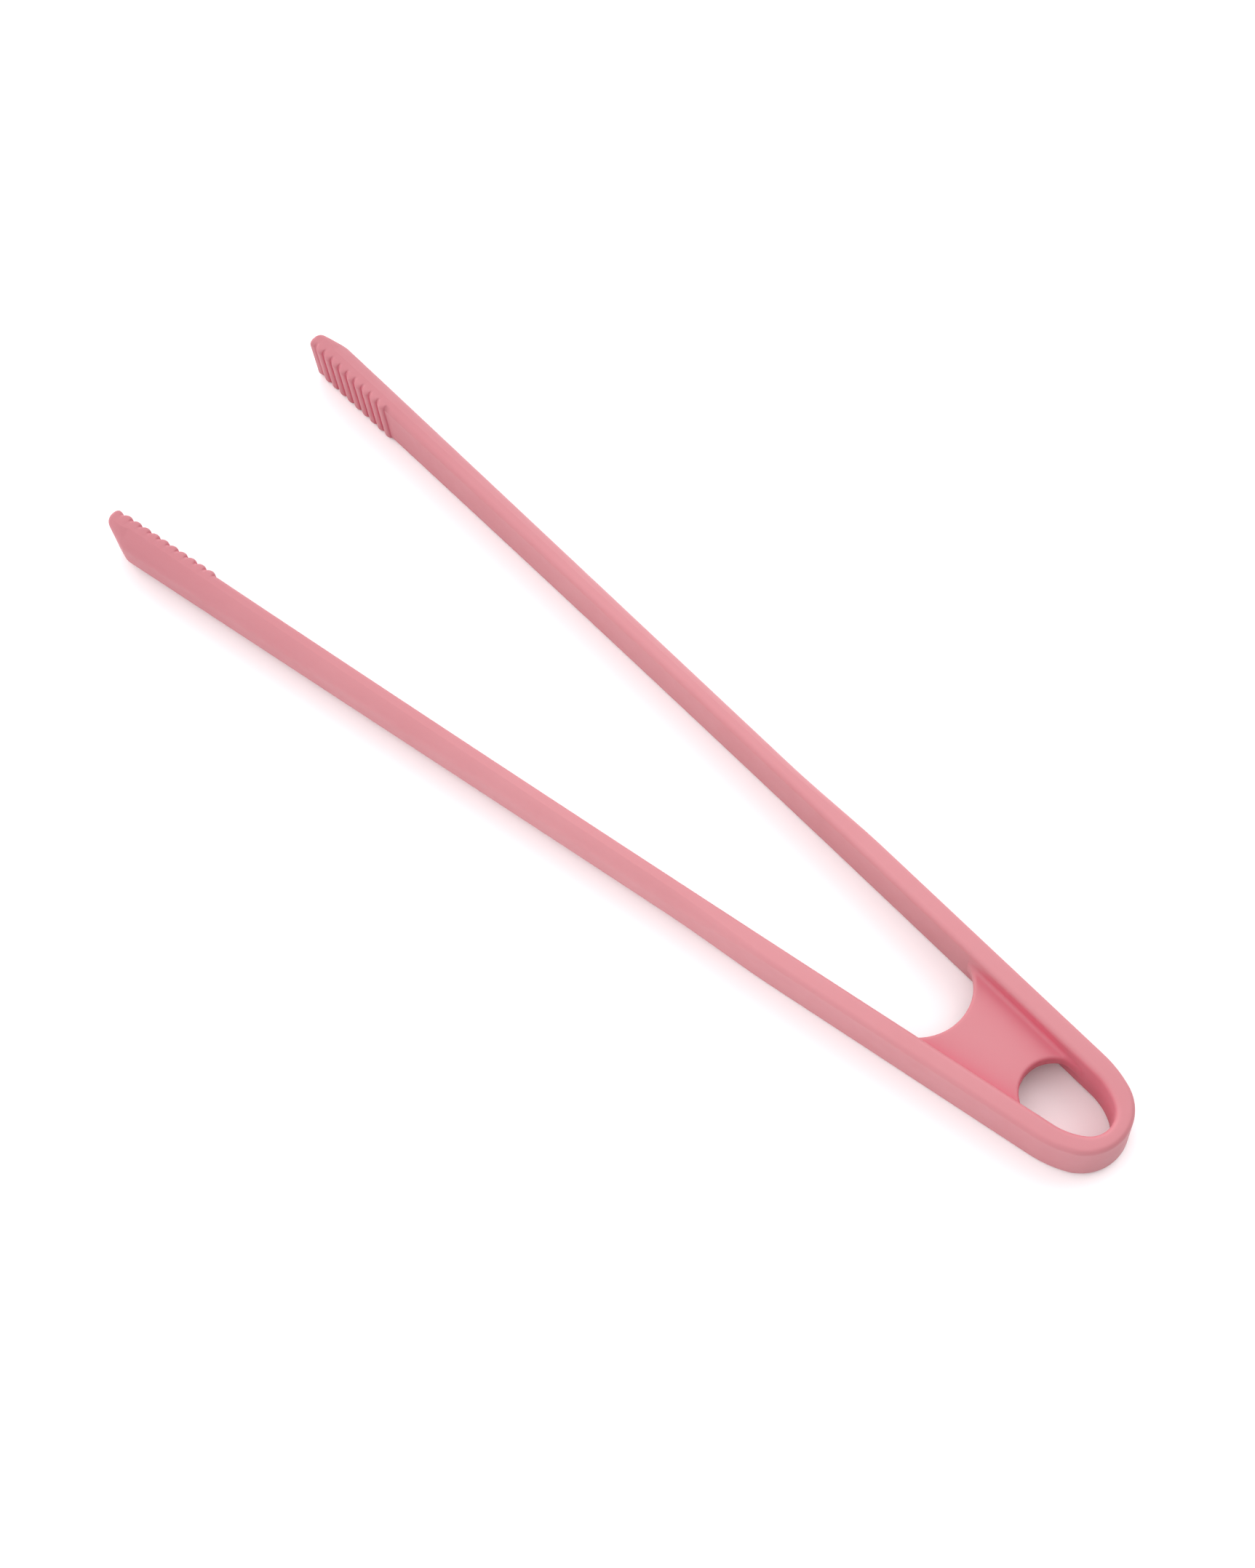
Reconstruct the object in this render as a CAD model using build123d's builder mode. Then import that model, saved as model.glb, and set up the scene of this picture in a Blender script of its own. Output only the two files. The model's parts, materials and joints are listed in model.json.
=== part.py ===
"""One-piece spring tongs: a springy nylon core in a silicone jacket.

The core is one U-shaped moulding: a bow with a hanging eye, a web that stiffens it, and two long
arms that bend when they are squeezed. The jacket covers all of it and ends in two toothed jaws.
Each arm is divided into links where it bends, so core and jacket have one node per link.

Millimetres. +X runs from the bow to the jaws, +Y to the left arm, +Z up from the surface that the
tongs lie on. The origin is the bottom centre of the object's box. A "distance" is measured along X
from the bow's end.
"""

from build123d import *
from math import cos, radians, sin, sqrt, tan
import os

# Whole tongs
LENGTH = 270.0
HEIGHT = 13.0
BOW_END = -LENGTH / 2
SKIN = 0.9

# Outside of the arms: a straight line that leaves the bow's shoulder
OUTER_START = 10.06
OUTER_SLOPE = tan(radians(5.92))
OUTER_TURN = 24.0
OUTER_SHOULDER = 26.0

# Inside of the arms: a slightly bowed line that leaves the shoulder of the eye's narrow end
INNER_START = 5.51
INNER_SLOPE = 0.1070
INNER_CURVE = 3.65e-5
EYE_END = 3.6
EYE_TURN = 35.0
EYE_SHOULDER = 14.0

# Web between the arms, with a round cut at each end
WEB_THICKNESS = 3.6
WEB_ROOT_ROUND = 1.0
EYE_CUT_CENTRE = 16.5
EYE_CUT_RADIUS = 7.6
GAP_CUT_CENTRE = 53.3
GAP_CUT_RADIUS = 11.9

# Edge rounding: small round the bow, large along the back of the arms ahead of it
INNER_ROUND = 1.2
BOW_ROUND = 1.4
BACK_ROUND = 3.2
TIP_ROUND = 1.5
LEAST_ROUND = 0.3

# Bending: from the web's front corner to where the hand squeezes, in links with gaps between them
BEND_START = 48.0
BEND_LENGTH = 98.0
LINKS = ("rear", "middle", "front")
LINK_GAP = 0.4
LOFT_STEPS = 4

# Jaws: the back of each tip is cut obliquely, and ridges stand on the inner face
TIP_CUT_START = 263.2
TIP_WIDTH = 3.4
CORE_END = 256.0
RIDGE_PITCH = 2.92
RIDGE_HEIGHT = 0.6
PAD_STAND = 0.05
PAD_ROOT = 1.0
PAD_EDGE = 0.5
FIRST_GROOVE = 267.45
GROOVES = {"left": 10, "right": 9}


def inner_y(distance):
    """Half of the gap between the arms."""
    return INNER_START + INNER_SLOPE * distance - INNER_CURVE * distance**2


def outer_y(distance):
    """Half of the width over the arms."""
    if distance <= TIP_CUT_START:
        return OUTER_START + OUTER_SLOPE * distance
    share = (distance - TIP_CUT_START) / (LENGTH - TIP_CUT_START)
    return outer_y(TIP_CUT_START) * (1 - share) + (inner_y(LENGTH) + TIP_WIDTH) * share


def pivot_distance(link):
    """Centre of one link's equal share of the bend, where the bending moment falls evenly from the
    web to nothing at the hand."""
    count = len(LINKS)
    low = 1 - sqrt(1 - link / count)
    high = 1 - sqrt(1 - (link + 1) / count)
    share = count * ((high**2 - 2 * high**3 / 3) - (low**2 - 2 * low**3 / 3))
    return BEND_START + BEND_LENGTH * share


PIVOTS = [pivot_distance(link) for link in range(len(LINKS))]


def back_round(distance):
    """Radius along the arm's back: it grows from the second pivot to the third."""
    if distance > TIP_CUT_START:
        share = (distance - TIP_CUT_START) / (LENGTH - TIP_CUT_START)
        return BACK_ROUND + (TIP_ROUND - BACK_ROUND) * share
    share = (distance - PIVOTS[1]) / (PIVOTS[2] - PIVOTS[1])
    return BOW_ROUND + (BACK_ROUND - BOW_ROUND) * min(max(share, 0), 1)


def side_arcs(end, side_start, slope, turn, shoulder):
    """Half of an outline round the bow, as an end arc and a shoulder arc that meets a straight side
    of the given slope. Returns the point where the side begins."""
    side = Vector(1, slope).normalized()
    bend = radians(turn)
    side_at_end = side_start + slope * end
    reach = slope * shoulder * (sin(bend) - side.Y) - shoulder * (side.X - cos(bend))
    radius = (side_at_end + reach) / (cos(bend) - slope * (1 - sin(bend)))
    tip = JernArc((BOW_END + end, 0), (0, 1), radius, turn - 90)
    flank = JernArc(tip @ 1, tip % 1, shoulder, Vector(1, 0).get_angle(side) - turn)
    return flank @ 1


def half_plan(end, side_start, slope, turn, shoulder, last, last_y):
    """Edges of a closed half outline: round the bow, along one side, and back along the middle."""
    with BuildLine() as outline:
        corner = side_arcs(end, side_start, slope, turn, shoulder)
        Polyline(corner, (BOW_END + last, last_y), (BOW_END + last, 0), (BOW_END + end, 0))
    return outline.edges()


def bow_form(inset):
    """The bow, its web and the roots of both arms, with every surface set inwards by an inset."""
    last = PIVOTS[0] - LINK_GAP / 2
    outside = half_plan(
        inset,
        OUTER_START - inset,
        OUTER_SLOPE,
        OUTER_TURN,
        OUTER_SHOULDER - inset,
        last,
        outer_y(last) - inset,
    )
    inside = half_plan(
        EYE_END - inset,
        INNER_START + inset,
        INNER_SLOPE,
        EYE_TURN,
        EYE_SHOULDER + inset,
        last,
        inner_y(last) + inset,
    )
    web_half = WEB_THICKNESS / 2 - inset
    with BuildPart() as form:
        with BuildSketch(Plane.XY.offset(inset)):
            make_face(outside)
            make_face(inside, mode=Mode.SUBTRACT)
            mirror(about=Plane.XZ)
        extrude(amount=HEIGHT - 2 * inset)
        levels = form.edges().group_by(Axis.Z)
        rims = [edge for edge in levels[0] + levels[-1] if edge.bounding_box().size.X > LINK_GAP]
        fillet(rims, max(BOW_ROUND - inset, LEAST_ROUND))
        with BuildSketch(Plane.XY.offset(HEIGHT / 2 - web_half)):
            with Locations((BOW_END + (EYE_CUT_CENTRE + GAP_CUT_CENTRE) / 2, 0)):
                Rectangle(GAP_CUT_CENTRE - EYE_CUT_CENTRE, 2 * inner_y(GAP_CUT_CENTRE))
            with Locations((BOW_END + EYE_CUT_CENTRE, 0)):
                Circle(EYE_CUT_RADIUS + inset, mode=Mode.SUBTRACT)
            with Locations((BOW_END + GAP_CUT_CENTRE, 0)):
                Circle(GAP_CUT_RADIUS + inset, mode=Mode.SUBTRACT)
        extrude(amount=2 * web_half)
    return form


def is_web_root(edge):
    """Whether an edge is a corner between the web's top or bottom and an arm's inner face."""
    rise = abs(edge.center().Z - HEIGHT / 2)
    level = abs(rise - WEB_THICKNESS / 2) < LINK_GAP / 10
    return level and edge.geom_type == GeomType.LINE and edge.length > WEB_THICKNESS


def arm_section(distance, inset):
    """The left arm's cross-section, as a face across X: flat inside and rounded behind."""
    low = inner_y(distance) + inset
    high = outer_y(distance) - inset
    with BuildSketch(Plane.YZ.offset(BOW_END + distance)) as section:
        with Locations(((low + high) / 2, HEIGHT / 2)):
            Rectangle(high - low, HEIGHT - 2 * inset)
        fillet(section.vertices().group_by(Axis.X)[0], max(INNER_ROUND - inset, LEAST_ROUND))
        fillet(section.vertices().group_by(Axis.X)[-1], max(back_round(distance) - inset, LEAST_ROUND))
    return section.sketch.face()


def arm_form(start, end, inset):
    """One link of the left arm, lofted between its cross-sections, with every surface but its ends
    set inwards by an inset."""
    bowed_end = min(end, TIP_CUT_START)
    stations = {start + (bowed_end - start) * step / LOFT_STEPS for step in range(LOFT_STEPS + 1)}
    stations.add(end)
    with BuildPart() as form:
        loft([arm_section(distance, inset) for distance in sorted(stations)], ruled=True)
    return form


def pad_form(grooves):
    """The left jaw's gripping pad: round ridges across the arm, and a step at the pad's end."""
    tops = [LENGTH] + [FIRST_GROOVE - RIDGE_PITCH * count for count in range(grooves + 1)]
    with BuildPart() as form:
        with BuildSketch(Plane.XY.offset(PAD_EDGE)):
            with BuildLine():
                for front, back in zip(tops, tops[1:]):
                    middle = (front + back) / 2
                    ThreePointArc(
                        (BOW_END + front, inner_y(front) - PAD_STAND),
                        (BOW_END + middle, inner_y(middle) - PAD_STAND - RIDGE_HEIGHT),
                        (BOW_END + back, inner_y(back) - PAD_STAND),
                    )
                Polyline(
                    (BOW_END + tops[-1], inner_y(tops[-1]) - PAD_STAND),
                    (BOW_END + tops[-1], inner_y(tops[-1]) + PAD_ROOT),
                    (BOW_END + LENGTH, inner_y(LENGTH) + PAD_ROOT),
                    (BOW_END + LENGTH, inner_y(LENGTH) - PAD_STAND),
                )
            make_face()
        extrude(amount=HEIGHT - 2 * PAD_EDGE)
    return form


def save(piece, name):
    """Names a finished piece and writes it to its own file."""
    piece.part.label = name
    export_step(piece.part, f"parts/{name}.step")


def left_or_right(shape, side):
    """The left arm's shape as it is, or its mirror image for the right arm."""
    return shape if side == "left" else shape.mirror(Plane.XZ)


def make_bow():
    """The bow's core and jacket."""
    with BuildPart() as bow_core:
        add(bow_form(SKIN))
    with BuildPart() as bow_sleeve:
        add(bow_form(0))
        fillet(bow_sleeve.edges().filter_by(is_web_root), WEB_ROOT_ROUND)
        add(bow_core.part, mode=Mode.SUBTRACT)
    save(bow_core, "bow_core")
    save(bow_sleeve, "bow_sleeve")


def make_link(side, link):
    """The core and jacket of one link of one arm. The front link's jacket closes over its core and
    carries the jaw."""
    front = link == len(LINKS) - 1
    start = PIVOTS[link] + LINK_GAP / 2
    sleeve_end = LENGTH if front else PIVOTS[link + 1] - LINK_GAP / 2
    core_end = CORE_END if front else sleeve_end
    with BuildPart() as core:
        add(left_or_right(arm_form(start, core_end, SKIN).part, side))
    with BuildPart() as sleeve:
        add(left_or_right(arm_form(start, sleeve_end, 0).part, side))
        if front:
            add(left_or_right(pad_form(GROOVES[side]).part, side))
        add(core.part, mode=Mode.SUBTRACT)
    save(core, f"{side}_arm_{LINKS[link]}_core")
    save(sleeve, f"{side}_arm_{LINKS[link]}_sleeve")


os.makedirs("parts", exist_ok=True)
make_bow()
for arm_side in GROOVES:
    for arm_link in range(len(LINKS)):
        make_link(arm_side, arm_link)
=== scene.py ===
"""Looks of the spring tongs: one continuous skin of matt pink silicone over the hidden nylon core.

The skin is made in seven pieces that meet at plane cuts. The bow's piece is the surface of a field
that rounds its walls and web into each other. Each arm's three pieces are swept from cross-sections,
and each spans one hinge of the frame.

Lengths in the shape functions are millimetres, turns and sweeps are degrees, and a "distance" is
measured along X from the bow's end. Meshes, lights and the camera are in metres, in the frame's own
coordinates.
"""

import json
from math import atan2, cos, pi, radians, sin, tan

import bmesh
import bpy
import numpy as np
from mathutils import Matrix, Vector


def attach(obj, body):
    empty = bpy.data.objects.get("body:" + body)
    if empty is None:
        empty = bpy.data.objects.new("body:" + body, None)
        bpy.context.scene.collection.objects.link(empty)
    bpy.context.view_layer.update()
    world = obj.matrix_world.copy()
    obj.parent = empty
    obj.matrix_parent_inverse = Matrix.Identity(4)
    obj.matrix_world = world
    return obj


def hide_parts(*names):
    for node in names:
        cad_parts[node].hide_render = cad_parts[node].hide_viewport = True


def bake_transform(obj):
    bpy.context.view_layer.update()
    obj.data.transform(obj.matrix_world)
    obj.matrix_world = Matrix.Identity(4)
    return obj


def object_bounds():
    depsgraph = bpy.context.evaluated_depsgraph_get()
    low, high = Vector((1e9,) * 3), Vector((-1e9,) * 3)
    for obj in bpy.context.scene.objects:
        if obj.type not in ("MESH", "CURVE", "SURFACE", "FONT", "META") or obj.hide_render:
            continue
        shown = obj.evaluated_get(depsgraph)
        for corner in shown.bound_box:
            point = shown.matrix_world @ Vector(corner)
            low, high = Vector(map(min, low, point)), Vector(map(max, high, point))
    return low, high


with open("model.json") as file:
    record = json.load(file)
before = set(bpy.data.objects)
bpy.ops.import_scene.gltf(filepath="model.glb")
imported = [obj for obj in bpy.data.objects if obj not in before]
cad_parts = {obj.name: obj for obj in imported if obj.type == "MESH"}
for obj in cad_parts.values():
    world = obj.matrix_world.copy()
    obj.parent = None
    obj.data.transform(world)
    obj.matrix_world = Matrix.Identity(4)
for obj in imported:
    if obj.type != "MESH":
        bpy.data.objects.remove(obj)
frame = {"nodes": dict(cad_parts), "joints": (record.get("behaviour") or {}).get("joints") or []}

MM = 0.001
CAD_LOW, CAD_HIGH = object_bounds()
BOW_END = CAD_LOW.x / MM
LENGTH = (CAD_HIGH.x - CAD_LOW.x) / MM
HEIGHT = (CAD_HIGH.z - CAD_LOW.z) / MM
SIDES = {"left": 1, "right": -1}
LINKS = ("rear", "middle", "front")

# Outside of the arms: a straight line that leaves the bow's shoulder
OUTER_START = 10.06
OUTER_SLOPE = tan(radians(5.92))
OUTER_TURN = 24.0
OUTER_SHOULDER = 26.0

# Inside of the arms: a slightly bowed line that leaves the shoulder of the eye's narrow end
INNER_START = 5.51
INNER_SLOPE = 0.1070
INNER_CURVE = 3.65e-5
EYE_END = 3.6
EYE_TURN = 35.0
EYE_SHOULDER = 14.0

# Web between the arms, with a round cut at each end
WEB_THICKNESS = 3.6
WEB_EDGE_ROUND = 0.7
WEB_ROOT_ROUND = 1.0
WEB_ROOT_DEPTH = 2.0
EYE_CUT_CENTRE = 16.5
EYE_CUT_RADIUS = 7.6
GAP_CUT_CENTRE = 53.3
GAP_CUT_RADIUS = 11.9

# Edge rounding: small round the bow, large along the back of the arms ahead of it
INNER_ROUND = 1.2
BOW_ROUND = 1.1
FLAT_TOP = 2.4
BACK_ROUND_HEIGHT = 4.6
BACK_SWEEP = 65
BACK_ROUND_START = 77.0
BACK_ROUND_END = 107.0

# Jaws: the back of each tip is cut obliquely, and ridges stand on the inner face
TIP_CUT_START = 263.2
TIP_CUT_ROUND = 0.8
TIP_WIDTH = 3.4
TIP_BACK_ROUND = 1.3
END_ROUNDS = {"inner": 1.0, "outer": 1.6, "height": 1.1}
RIDGE_PITCH = 2.92
RIDGE_WIDTH = 2.25
RIDGE_HEIGHT = 0.66
TIP_RIDGE_HEIGHT = 0.5
FIRST_GROOVE = 267.45
GROOVES = {"left": 10, "right": 9}

# Where the skin is cut into pieces, and how finely it is divided
PIVOTS = [j["pos_m"][0] / MM - BOW_END for j in frame["joints"] if j["name"].startswith("left")]
BOW_SKIN_END = 48.0
CUTS = [BOW_SKIN_END, (PIVOTS[0] + PIVOTS[1]) / 2, (PIVOTS[1] + PIVOTS[2]) / 2, LENGTH]
NET_STEP = 0.3
NET_MARGIN = 4 * NET_STEP
STATION_STEP = 1.6
RIDGE_STEPS = 14
ROUND_STEPS = 8
ON_PLANE = 1e-9

# Colours, as linear red, green and blue
PALE_PINKS = ((0.449, 0.170, 0.189), (0.463, 0.183, 0.202))
# Painted shade: the deep pink where the light is painted falling off towards the bow and the jaws
FALLOFF_SHADE_PINK = (0.393, 0.131, 0.153)
# Painted shade and bounced light: the red of creases, grooves and the eye, where light bounces and soaks
# through the walls
CREASE_SHADE_AND_BOUNCE_RED = (0.62, 0.088, 0.150)
CORE_GREYS = ((0.018, 0.018, 0.020), (0.035, 0.035, 0.038))
TABLE_WHITE = (0.90, 0.868, 0.878)

# Painted light and shade, in metres: the skin is painted palest at the first X along the tongs, as if most
# lit there, and painted the shaded deep pink at the second distance from it, as the light falls off. Where
# its own walls come within the third distance it is painted redder, as shade with light bounced between and
# soaked through its walls.
LIT_MIDDLE_X = -0.025
FALLOFF_REACH = 0.15
CREASE_REACH = 0.018

# How light soaks into the silicone, as inputs of its shader
SOAKING = {
    "Subsurface Weight": 0.12,
    "Subsurface Radius": (1.0, 0.45, 0.45),
    "Subsurface Scale": 0.0012,
}

# Studio, in metres and watts, with the lens and sensor in millimetres. The surround has a mean
# strength, and a direction in which it grows, whose length says by how much.
TABLE_SIZE = 8
SURROUND_STRENGTH = 1.72
SURROUND_LEAN = (1.12, 0.12, -0.32)
LAMP_PLACE = (-0.25, -0.75, 0.95)
LAMP_SIZE = 0.9
LAMP_POWER = 4.7
CAMERA_PLACE = (-0.194354, 0.156271, 0.475958)
CAMERA_FORWARD = (0.36062, -0.28687, -0.88750)
CAMERA_UP = (0.57942, -0.67675, 0.45418)
CAMERA_LENS = 55.24
CAMERA_SENSOR = 36
CAMERA_NEAR = 0.01


# ---------------------------------------------------------------------------------------------
# Plan: the outlines of the arms and of the bow
# ---------------------------------------------------------------------------------------------


def inner_y(distance):
    """Half of the gap between the arms."""
    return INNER_START + INNER_SLOPE * distance - INNER_CURVE * distance**2


def outer_y(distance):
    """Half of the width over the arms, with the tip's oblique cut rounded into the side."""
    side = OUTER_START + OUTER_SLOPE * distance
    corner = OUTER_START + OUTER_SLOPE * TIP_CUT_START
    cut_slope = (inner_y(LENGTH) + TIP_WIDTH - corner) / (LENGTH - TIP_CUT_START)
    past = (distance - TIP_CUT_START) / TIP_CUT_ROUND
    bend = TIP_CUT_ROUND * np.where(past < 1, np.maximum(past + 1, 0) ** 2 / 4, past)
    return side + (cut_slope - OUTER_SLOPE) * bend


def ridge_rise(distance, side):
    """How far the gripping ridges stand in from one arm's inner face. Narrow flat grooves part them,
    and the last one ends in the tip."""
    place = (FIRST_GROOVE - distance) / RIDGE_PITCH
    from_crest = (place - np.floor(place) - 0.5) * 2 * RIDGE_PITCH / RIDGE_WIDTH
    tip_start = FIRST_GROOVE + (RIDGE_PITCH - RIDGE_WIDTH) / 2
    tip_share = np.clip((distance - tip_start) / (LENGTH - tip_start), 0, 1)
    ridge = np.where(
        distance > FIRST_GROOVE,
        TIP_RIDGE_HEIGHT * np.sqrt(tip_share * (2 - tip_share)),
        RIDGE_HEIGHT * np.sqrt(np.maximum(1 - from_crest**2, 0)),
    )
    return np.where(place > GROOVES[side], 0, ridge)


class RoundedWedge:
    """Plan outline round the bow's end: an end arc, a shoulder arc and a side, mirrored in the X axis.
    Called with a point, it gives the distance outside the outline, which is negative inside it."""

    def __init__(self, end, side_y, slope, turn, shoulder):
        lean = atan2(slope, 1)
        bend = radians(turn)
        reach = slope * shoulder * (sin(bend) - sin(lean)) - shoulder * (cos(lean) - cos(bend))
        self.radius = (side_y(end) + reach) / (cos(bend) - slope * (1 - sin(bend)))
        self.centre = np.array([end + self.radius, 0.0])
        along = np.array([-sin(bend), cos(bend)])
        self.shoulder = shoulder
        self.shoulder_centre = self.centre + (self.radius - shoulder) * along
        self.bend = bend
        self.lean = lean
        self.side_y = side_y

    def __call__(self, x, y):
        y = np.abs(y)
        from_centre = np.hypot(x - self.centre[0], y)
        from_shoulder_x = x - self.shoulder_centre[0]
        from_shoulder_y = y - self.shoulder_centre[1]
        from_shoulder = np.hypot(from_shoulder_x, from_shoulder_y)
        facing = np.arctan2(-(x - self.centre[0]), y)
        shoulder_facing = np.arctan2(-from_shoulder_x, from_shoulder_y)
        side = (y - self.side_y(x)) * cos(self.lean)
        shoulder = from_shoulder - self.shoulder
        return np.where(
            facing > self.bend,
            from_centre - self.radius,
            np.where(shoulder_facing > self.lean, shoulder, side),
        )


outer_outline = RoundedWedge(
    0.0, lambda x: OUTER_START + OUTER_SLOPE * x, OUTER_SLOPE, OUTER_TURN, OUTER_SHOULDER
)
inner_outline = RoundedWedge(EYE_END, inner_y, INNER_SLOPE, EYE_TURN, EYE_SHOULDER)


# ---------------------------------------------------------------------------------------------
# The bow: walls and web, joined by fillets, as the zero surface of a field
# ---------------------------------------------------------------------------------------------


def round_both(first, second, radius):
    """Field of the space inside two fields, with the edge between them rounded."""
    first = first + radius
    second = second + radius
    outside = np.hypot(np.maximum(first, 0), np.maximum(second, 0))
    return outside + np.minimum(np.maximum(first, second), 0) - radius


def round_either(first, second, radius):
    """Field of the space inside either of two fields, with a fillet where they meet."""
    return -round_both(-first, -second, radius)


def bow_field(points):
    """Distance outside the bow's skin, for points in millimetres about the bow's end at mid height."""
    x, y, z = points[..., 0], points[..., 1], np.abs(points[..., 2])
    level = z - HEIGHT / 2
    outside = outer_outline(x, y)
    walls = np.maximum(
        round_both(outside, level, BOW_ROUND),
        round_both(-inner_outline(x, y), level, INNER_ROUND),
    )
    eye_cut = EYE_CUT_RADIUS - np.hypot(x - EYE_CUT_CENTRE, y)
    gap_cut = GAP_CUT_RADIUS - np.hypot(x - GAP_CUT_CENTRE, y)
    free_edges = np.maximum(eye_cut, gap_cut)
    behind_gap = x - GAP_CUT_CENTRE
    ahead_of_eye = EYE_CUT_CENTRE - x
    web_plan = np.maximum.reduce([free_edges, behind_gap, ahead_of_eye, outside + WEB_ROOT_DEPTH])
    web = round_both(web_plan, z - WEB_THICKNESS / 2, WEB_EDGE_ROUND)
    return round_either(walls, web, WEB_ROOT_ROUND)


def surface_net(field, low, high, step):
    """Vertices and quads of a closed net on the surface where a field is zero: one vertex in each
    grid cell that the surface crosses, and one quad round each grid edge that it crosses."""
    axes = [np.arange(start, end + step, step) for start, end in zip(low, high)]
    values = field(np.stack(np.meshgrid(*axes, indexing="ij"), -1))
    shape = np.array(values.shape)
    cells, crossings = [], []
    for axis in range(3):
        near = np.take(values, range(shape[axis] - 1), axis)
        far = np.take(values, range(1, shape[axis]), axis)
        at = np.argwhere((near < 0) != (far < 0))
        start, end = near[tuple(at.T)], far[tuple(at.T)]
        place = at.astype(float)
        place[:, axis] += start / (start - end)
        first, second = np.eye(3, dtype=int)[[(axis + 1) % 3, (axis + 2) % 3]]
        quad = np.stack([at, at - first, at - first - second, at - second], 1)
        quad[start > 0] = quad[start > 0][:, ::-1]
        cells.append(np.ravel_multi_index(quad.reshape(-1, 3).T, shape).reshape(-1, 4))
        crossings.append(np.repeat(place[:, None], 4, 1))
    used, quads = np.unique(np.concatenate(cells), return_inverse=True)
    quads = quads.reshape(-1, 4)
    sums = np.zeros((len(used), 3))
    np.add.at(sums, quads.ravel(), np.concatenate(crossings).reshape(-1, 3))
    vertices = np.array(low) + step * sums / np.bincount(quads.ravel())[:, None]
    return settle(field, vertices, step), quads


def settle(field, vertices, step, rounds=4, least_steepness=0.25):
    """Moves points onto the surface where a field is zero, without leaps where the field is flat."""
    reach = step / 10
    for _ in range(rounds):
        slope = np.stack(
            [field(vertices + reach * axis) - field(vertices - reach * axis) for axis in np.eye(3)],
            -1,
        ) / (2 * reach)
        steepness = np.maximum((slope**2).sum(-1), least_steepness)
        vertices = vertices - slope * (field(vertices) / steepness)[:, None]
    return vertices


def to_frame(points):
    """Millimetres about the bow's end at mid height, to metres in the frame."""
    return (np.asarray(points) + [BOW_END, 0, HEIGHT / 2]) * MM


def new_piece(name, mesh, material):
    """An object of the silicone skin with a finished mesh."""
    piece = bpy.data.objects.new(name, mesh)
    bpy.context.scene.collection.objects.link(piece)
    mesh.materials.append(material)
    even = piece.modifiers.new("even shading", "WEIGHTED_NORMAL")
    even.keep_sharp = True
    return piece


def make_bow_skin(material):
    """The bow, its web and the roots of both arms, cut off where the arms' pieces begin."""
    root_y = float(outer_y(BOW_SKIN_END + NET_MARGIN))

    def closed_field(points):
        return np.maximum(bow_field(points), points[..., 0] - BOW_SKIN_END - NET_MARGIN)

    low = (-NET_MARGIN, -root_y - NET_MARGIN, -HEIGHT / 2 - NET_MARGIN)
    high = (BOW_SKIN_END + 2 * NET_MARGIN, root_y + NET_MARGIN, HEIGHT / 2 + NET_MARGIN)
    vertices, quads = surface_net(closed_field, low, high, NET_STEP)
    mesh = bpy.data.meshes.new("bow_skin")
    mesh.from_pydata(to_frame(vertices).tolist(), [], quads.tolist())
    net = bmesh.new()
    net.from_mesh(mesh)
    bmesh.ops.bisect_plane(
        net,
        geom=net.verts[:] + net.edges[:] + net.faces[:],
        dist=ON_PLANE,
        plane_co=((BOW_END + BOW_SKIN_END) * MM, 0, 0),
        plane_no=(1, 0, 0),
        clear_outer=True,
    )
    rims = [edge for edge in net.edges if edge.is_boundary]
    bmesh.ops.holes_fill(net, edges=rims, sides=0)
    for edge in rims:
        edge.smooth = False
    for face in net.faces:
        face.smooth = True
    net.to_mesh(mesh)
    net.free()
    bow = new_piece("bow_skin", mesh, material)
    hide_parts("bow_sleeve")
    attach(bow, "bow")


# ---------------------------------------------------------------------------------------------
# The arms: rings of points swept from the bow to the tips
# ---------------------------------------------------------------------------------------------


def back_round(distance):
    """Width, semi-axis up and sweep in degrees of the elliptical rounding along the arm's back. It
    grows ahead of the bow into one that meets the flat top at an edge, and shrinks at the tip."""
    grow = np.clip((distance - BACK_ROUND_START) / (BACK_ROUND_END - BACK_ROUND_START), 0, 1)
    tip_share = np.clip((distance - TIP_CUT_START) / (LENGTH - TIP_CUT_START), 0, 1)
    width = float(outer_y(distance)) - inner_y(distance) - FLAT_TOP
    bow = np.array([BOW_ROUND, BOW_ROUND, 90])
    arm = np.array([width, BACK_ROUND_HEIGHT, BACK_SWEEP])
    tip = np.array([TIP_BACK_ROUND, TIP_BACK_ROUND, 90])
    grown = bow + (arm - bow) * grow**2 * (3 - 2 * grow)
    return grown + (tip - grown) * tip_share


def end_inset(distance, radius):
    """How far a face is set in by the rounding of the tip's end."""
    into = np.clip(distance - (LENGTH - radius), 0, radius)
    return radius - np.sqrt(radius**2 - into**2)


def arm_ring(distance, side):
    """One cross-section of the left arm, as points from its back over the top to its inner face, and
    back underneath. A side's jaw has its own number of ridges."""
    low = inner_y(distance) - ridge_rise(distance, side) + end_inset(distance, END_ROUNDS["inner"])
    high = outer_y(distance) - end_inset(distance, END_ROUNDS["outer"])
    half = HEIGHT / 2 - end_inset(distance, END_ROUNDS["height"])
    inner_width = min(INNER_ROUND, (high - low) / 2)
    back_width, back_height, sweep = back_round(distance)
    back_axis = min(back_width, high - low - inner_width) / (1 - cos(radians(sweep)))
    upper = []
    for y, width, height, start, end in (
        (high - back_axis, back_axis, back_height, 0, sweep),
        (low + inner_width, inner_width, INNER_ROUND, 90, 180),
    ):
        top = max(sin(radians(start)), sin(radians(end)))
        for angle in np.radians(np.linspace(start, end, ROUND_STEPS + 1)):
            upper.append((y + width * cos(angle), half + height * (sin(angle) - top)))
    lower = [(y, -z) for y, z in reversed(upper)]
    return [(distance, y, z) for y, z in upper + lower]


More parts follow.
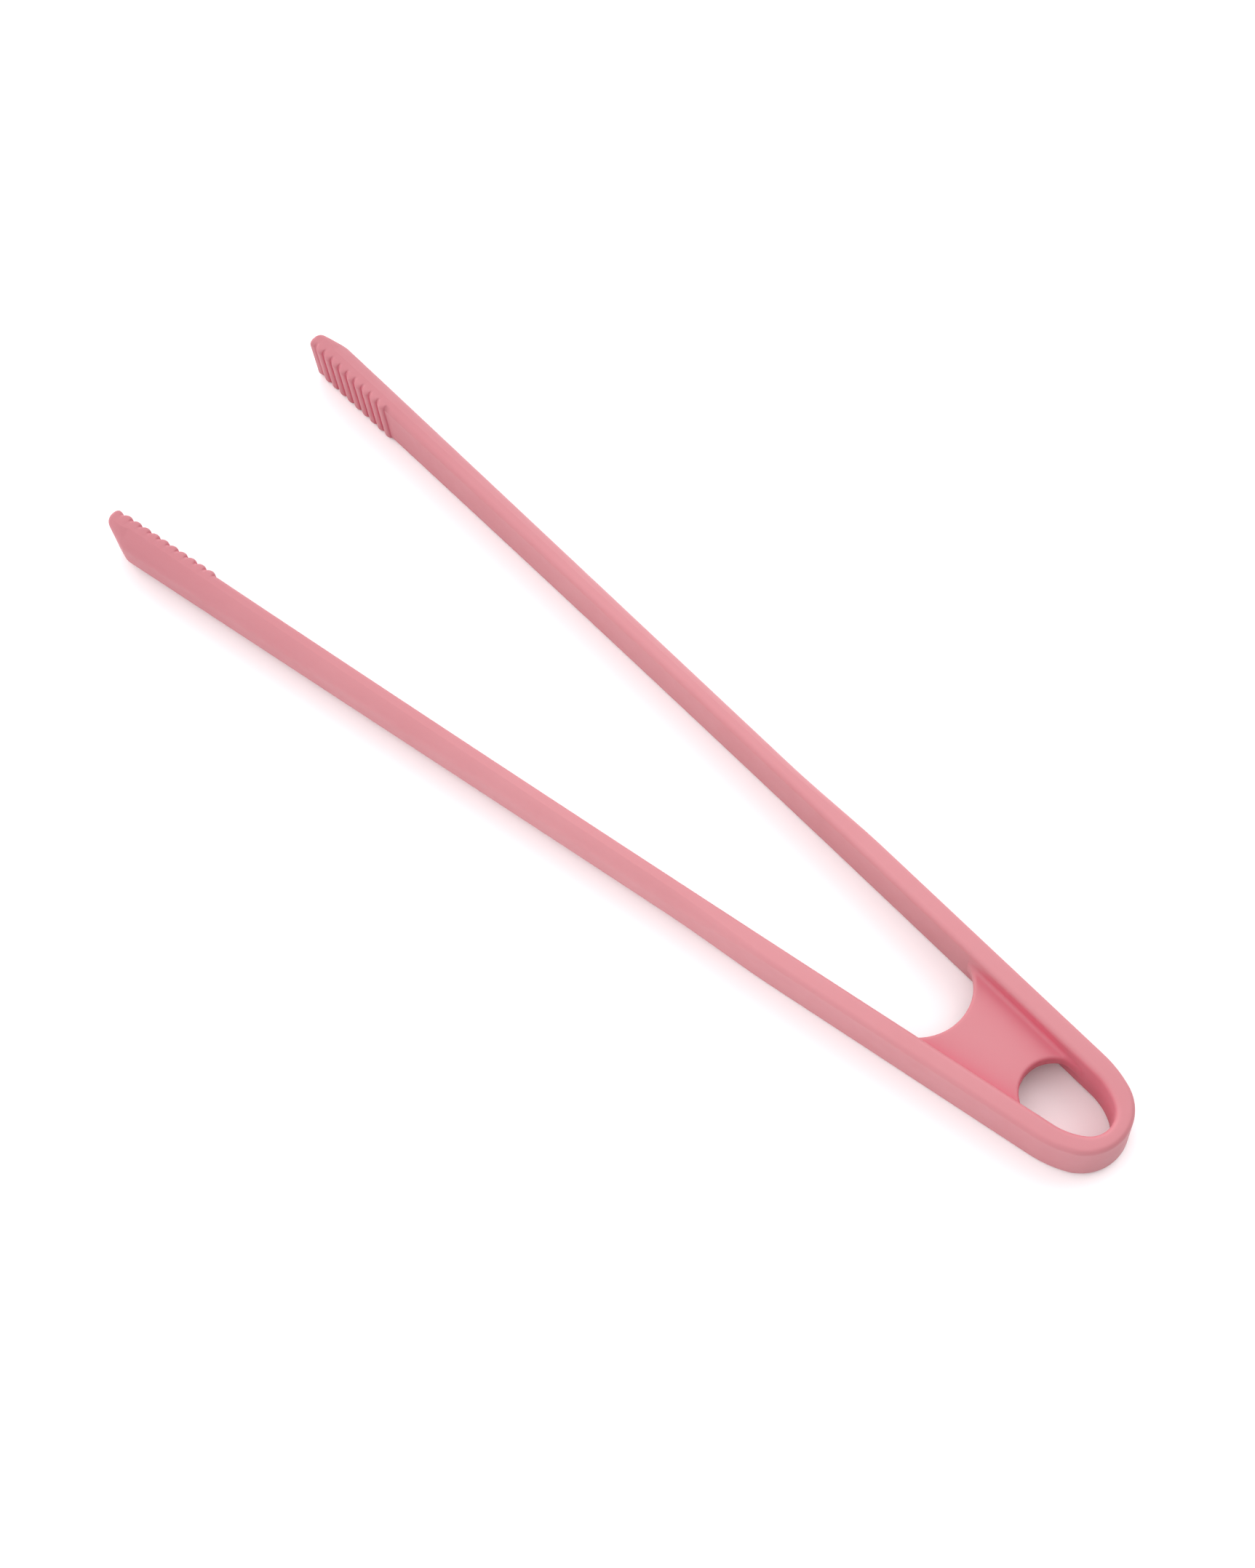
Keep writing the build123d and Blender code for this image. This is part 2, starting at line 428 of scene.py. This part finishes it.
def stations(start, end, side):
    """Distances of the cross-sections between two cuts: closer on the ridges and round the tip."""
    places = list(np.linspace(start, end, 1 + round((end - start) / STATION_STEP)))
    pad_end = FIRST_GROOVE - RIDGE_PITCH * GROOVES[side]
    if end == LENGTH:
        smooth_part = [place for place in places if place < pad_end]
        across = RIDGE_PITCH / 2 + RIDGE_WIDTH / 2 * np.cos(np.linspace(0, pi, RIDGE_STEPS + 1))
        ridges = [FIRST_GROOVE - RIDGE_PITCH * count - across for count in range(GROOVES[side])]
        tip_start = LENGTH - max(END_ROUNDS.values())
        tip = np.linspace(FIRST_GROOVE, tip_start, RIDGE_STEPS // 2, endpoint=False)
        turn = np.linspace(0, pi / 2, 2 * ROUND_STEPS + 1)
        rounding = tip_start + (LENGTH - tip_start) * np.sin(turn)
        places = [*smooth_part, *np.sort(np.concatenate(ridges)), *tip, *rounding]
    return places


def swept_mesh(name, rings, mirrored):
    """A closed mesh through rings of points, with a flat cap on each end. The right arm's rings are
    mirrored, so its faces run the other way round."""
    count = len(rings[0])
    faces = [
        (row * count + place, (row + 1) * count + place,
         (row + 1) * count + (place + 1) % count, row * count + (place + 1) % count)
        for row in range(len(rings) - 1)
        for place in range(count)
    ]
    last = (len(rings) - 1) * count
    faces += [tuple(range(count)), tuple(range(last, last + count))[::-1]]
    if not mirrored:
        faces = [face[::-1] for face in faces]
    mesh = bpy.data.meshes.new(name)
    mesh.from_pydata(to_frame([point for ring in rings for point in ring]).tolist(), [], faces)
    mesh.shade_smooth()
    return mesh


def sharpen(mesh, count, at_tip):
    """Marks as sharp the edges of an arm mesh's caps that meet another piece, and the two lines where
    the rounding along the back meets the flat top and bottom."""
    form = bmesh.new()
    form.from_mesh(mesh)
    form.faces.ensure_lookup_table()
    caps = [form.faces[-2]] if at_tip else form.faces[-2:]
    sharp = [edge for cap in caps for edge in cap.edges]
    for place in (ROUND_STEPS, count - 1 - ROUND_STEPS):
        line = form.verts[:][place::count]
        sharp += [form.edges.get(pair) for pair in zip(line, line[1:])]
    for edge in sharp:
        edge.smooth = False
    form.to_mesh(mesh)
    form.free()


def make_arm_skin(side, link, material):
    """One piece of an arm's skin, which spans the hinge at the start of its link."""
    start, end = CUTS[link], CUTS[link + 1]
    sign = SIDES[side]
    rings = [[(x, sign * y, z) for x, y, z in arm_ring(d, side)] for d in stations(start, end, side)]
    name = f"{side}_{LINKS[link]}_skin"
    mesh = swept_mesh(name, rings, mirrored=sign < 0)
    sharpen(mesh, len(rings[0]), end == LENGTH)
    piece = new_piece(name, mesh, material)
    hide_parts(f"{side}_arm_{LINKS[link]}_sleeve")
    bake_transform(piece)


# ---------------------------------------------------------------------------------------------
# Materials
# ---------------------------------------------------------------------------------------------


def add_node(tree, kind, **values):
    """A shader node with some of its properties and inputs set."""
    node = tree.nodes.new(kind)
    for key, value in values.items():
        if key in node.inputs:
            node.inputs[key].default_value = value
        else:
            setattr(node, key, value)
    return node


def noise(tree, coordinates, scale, detail, roughness):
    """A noise texture on object coordinates. The scale is in cycles per metre."""
    texture = add_node(tree, "ShaderNodeTexNoise", Scale=scale, Detail=detail, Roughness=roughness)
    tree.links.new(coordinates, texture.inputs["Vector"])
    return texture.outputs["Fac"]


def ranged(tree, value, source, target):
    """A value mapped from one range to another, and kept within it."""
    remap = add_node(tree, "ShaderNodeMapRange")
    for name, limit in zip(("From Min", "From Max", "To Min", "To Max"), (*source, *target)):
        remap.inputs[name].default_value = limit
    tree.links.new(value, remap.inputs["Value"])
    return remap.outputs["Result"]


def spread(tree, value, low, high):
    """A noise value stretched to run from low to high."""
    return ranged(tree, value, (0.3, 0.7), (low, high))


def mixed(tree, share, first, second):
    """A colour mixed from two, each a tuple or a socket, by a share."""
    mix = add_node(tree, "ShaderNodeMix", data_type="RGBA")
    for socket, colour in zip(mix.inputs[6:8], (first, second)):
        if isinstance(colour, tuple):
            socket.default_value = (*colour, 1)
        else:
            tree.links.new(colour, socket)
    tree.links.new(share, mix.inputs["Factor"])
    return mix.outputs[2]


def bumped(tree, height, strength, depth, normal=None):
    """The normal of a surface roughened by a height, on top of another roughening."""
    bump = add_node(tree, "ShaderNodeBump", Strength=strength, Distance=depth)
    tree.links.new(height, bump.inputs["Height"])
    if normal is not None:
        tree.links.new(normal, bump.inputs["Normal"])
    return bump.outputs["Normal"]


def new_material(name, **values):
    """A material with one shader, and the object coordinates that its textures use."""
    material = bpy.data.materials.new(name)
    material.use_nodes = True
    tree = material.node_tree
    tree.nodes.clear()
    place = add_node(tree, "ShaderNodeTexCoord").outputs["Object"]
    shader = add_node(tree, "ShaderNodeBsdfPrincipled", **values)
    output = add_node(tree, "ShaderNodeOutputMaterial")
    tree.links.new(shader.outputs["BSDF"], output.inputs["Surface"])
    return material, place, shader


def silicone_colour(tree, place):
    """A cloudy pink with painted light and shade: it is painted deeper towards the bow and the jaws, as
    where the light falls off away from the middle, and redder in creases, grooves and the eye, as shade
    with light bounced and soaked through the walls."""
    cloudy = spread(tree, noise(tree, place, 35, 3, 0.5), 0, 1)
    pale = mixed(tree, cloudy, *PALE_PINKS)
    along = add_node(tree, "ShaderNodeSeparateXYZ")
    tree.links.new(place, along.inputs["Vector"])
    reach = (LIT_MIDDLE_X - FALLOFF_REACH, LIT_MIDDLE_X + FALLOFF_REACH)
    from_middle = ranged(tree, along.outputs["X"], reach, (-1, 1))
    # Painted shade: the share of deep pink grows away from the middle, as the light falls off there
    painted_falloff = add_node(tree, "ShaderNodeMath", operation="MULTIPLY")
    for factor in painted_falloff.inputs[:2]:
        tree.links.new(from_middle, factor)
    colour_with_falloff_shade = mixed(tree, painted_falloff.outputs["Value"], pale, FALLOFF_SHADE_PINK)
    # Painted shade and bounced light: redder where the skin's own walls close round it
    crease = add_node(tree, "ShaderNodeAmbientOcclusion", only_local=True, samples=8, Distance=CREASE_REACH)
    openness = ranged(tree, crease.outputs["AO"], (0.30, 0.95), (0, 1))
    return mixed(tree, openness, CREASE_SHADE_AND_BOUNCE_RED, colour_with_falloff_shade)


def make_silicone():
    """Matt silicone: an uneven pink with painted shade and bounced light, a fine moulded grain over a broad
    swell, and smoother places where it is handled."""
    material, place, shader = new_material("pink_silicone", IOR=1.41, **SOAKING)
    tree = material.node_tree
    tree.links.new(silicone_colour(tree, place), shader.inputs["Base Color"])
    handled = spread(tree, noise(tree, place, 90, 4, 0.6), 0.45, 0.57)
    tree.links.new(handled, shader.inputs["Roughness"])
    grain = bumped(tree, noise(tree, place, 4200, 2, 0.6), 0.12, 0.00004)
    swell = bumped(tree, noise(tree, place, 260, 2, 0.5), 0.25, 0.00012, grain)
    tree.links.new(swell, shader.inputs["Normal"])
    return material


def make_nylon():
    """Dark nylon of the hidden core, with short glass fibres that show as pale flecks."""
    material, place, shader = new_material("core_nylon", IOR=1.53)
    tree = material.node_tree
    flecks = spread(tree, noise(tree, place, 1800, 4, 0.7), 0, 1)
    tree.links.new(mixed(tree, flecks, *CORE_GREYS), shader.inputs["Base Color"])
    tree.links.new(spread(tree, noise(tree, place, 300, 3, 0.5), 0.42, 0.58), shader.inputs["Roughness"])
    rough = bumped(tree, noise(tree, place, 2500, 2, 0.5), 0.2, 0.00003)
    tree.links.new(rough, shader.inputs["Normal"])
    return material


# ---------------------------------------------------------------------------------------------
# Studio: floor, light and camera
# ---------------------------------------------------------------------------------------------


def make_floor():
    """A wide table top under the tongs, white with a faint warm tint."""
    bpy.ops.mesh.primitive_plane_add(size=TABLE_SIZE, location=(0, 0, CAD_LOW.z))
    floor = bpy.context.object
    floor.name = "floor"
    material = bpy.data.materials.new("white_table")
    material.use_nodes = True
    shader = material.node_tree.nodes["Principled BSDF"]
    shader.inputs["Base Color"].default_value = (*TABLE_WHITE, 1)
    shader.inputs["Roughness"].default_value = 0.9
    shader.inputs["Specular IOR Level"].default_value = 0.1
    floor.data.materials.append(material)


def make_light():
    """A white surround that is darker overhead and behind the bow, and a large soft lamp beyond the
    right arm."""
    world = bpy.data.worlds.new("studio")
    world.use_nodes = True
    tree = world.node_tree
    direction = add_node(tree, "ShaderNodeTexCoord").outputs["Generated"]
    lean = add_node(tree, "ShaderNodeVectorMath", operation="DOT_PRODUCT")
    lean.inputs[1].default_value = SURROUND_LEAN
    tree.links.new(direction, lean.inputs[0])
    strength = add_node(tree, "ShaderNodeMath", operation="ADD")
    strength.inputs[1].default_value = SURROUND_STRENGTH
    tree.links.new(lean.outputs["Value"], strength.inputs[0])
    background = tree.nodes["Background"]
    background.inputs["Color"].default_value = (1, 1, 1, 1)
    tree.links.new(strength.outputs["Value"], background.inputs["Strength"])
    bpy.context.scene.world = world
    lamp = bpy.data.lights.new("softbox", "AREA")
    lamp.shape = "DISK"
    lamp.size = LAMP_SIZE
    lamp.energy = LAMP_POWER
    holder = bpy.data.objects.new("softbox", lamp)
    holder.location = LAMP_PLACE
    holder.rotation_euler = (-holder.location).to_track_quat("-Z", "Y").to_euler()
    bpy.context.scene.collection.objects.link(holder)


def make_camera():
    """The photograph's view: from above the left arm's outer side, with the bow at the lower right."""
    data = bpy.data.cameras.new("camera")
    data.sensor_width = CAMERA_SENSOR
    data.lens = CAMERA_LENS
    data.clip_start = CAMERA_NEAR
    camera = bpy.data.objects.new("camera", data)
    forward = Vector(CAMERA_FORWARD).normalized()
    right = forward.cross(Vector(CAMERA_UP)).normalized()
    up = right.cross(forward)
    turn = Matrix((right, up, -forward)).transposed()
    camera.matrix_world = Matrix.Translation(CAMERA_PLACE) @ turn.to_4x4()
    bpy.context.scene.collection.objects.link(camera)
    bpy.context.scene.camera = camera


def show_true_colours():
    """Plain colour management, so that lit surfaces keep the colour they are given."""
    settings = bpy.context.scene.view_settings
    settings.view_transform = "Standard"
    settings.look = "None"
    settings.exposure = 0
    settings.gamma = 1


silicone = make_silicone()
nylon = make_nylon()
make_bow_skin(silicone)
for arm_side in SIDES:
    for arm_link in range(len(LINKS)):
        make_arm_skin(arm_side, arm_link, silicone)
for node_name, node in frame["nodes"].items():
    if node_name.endswith("core"):
        node.data.materials.clear()
        node.data.materials.append(nylon)
make_floor()
make_light()
make_camera()
show_true_colours()
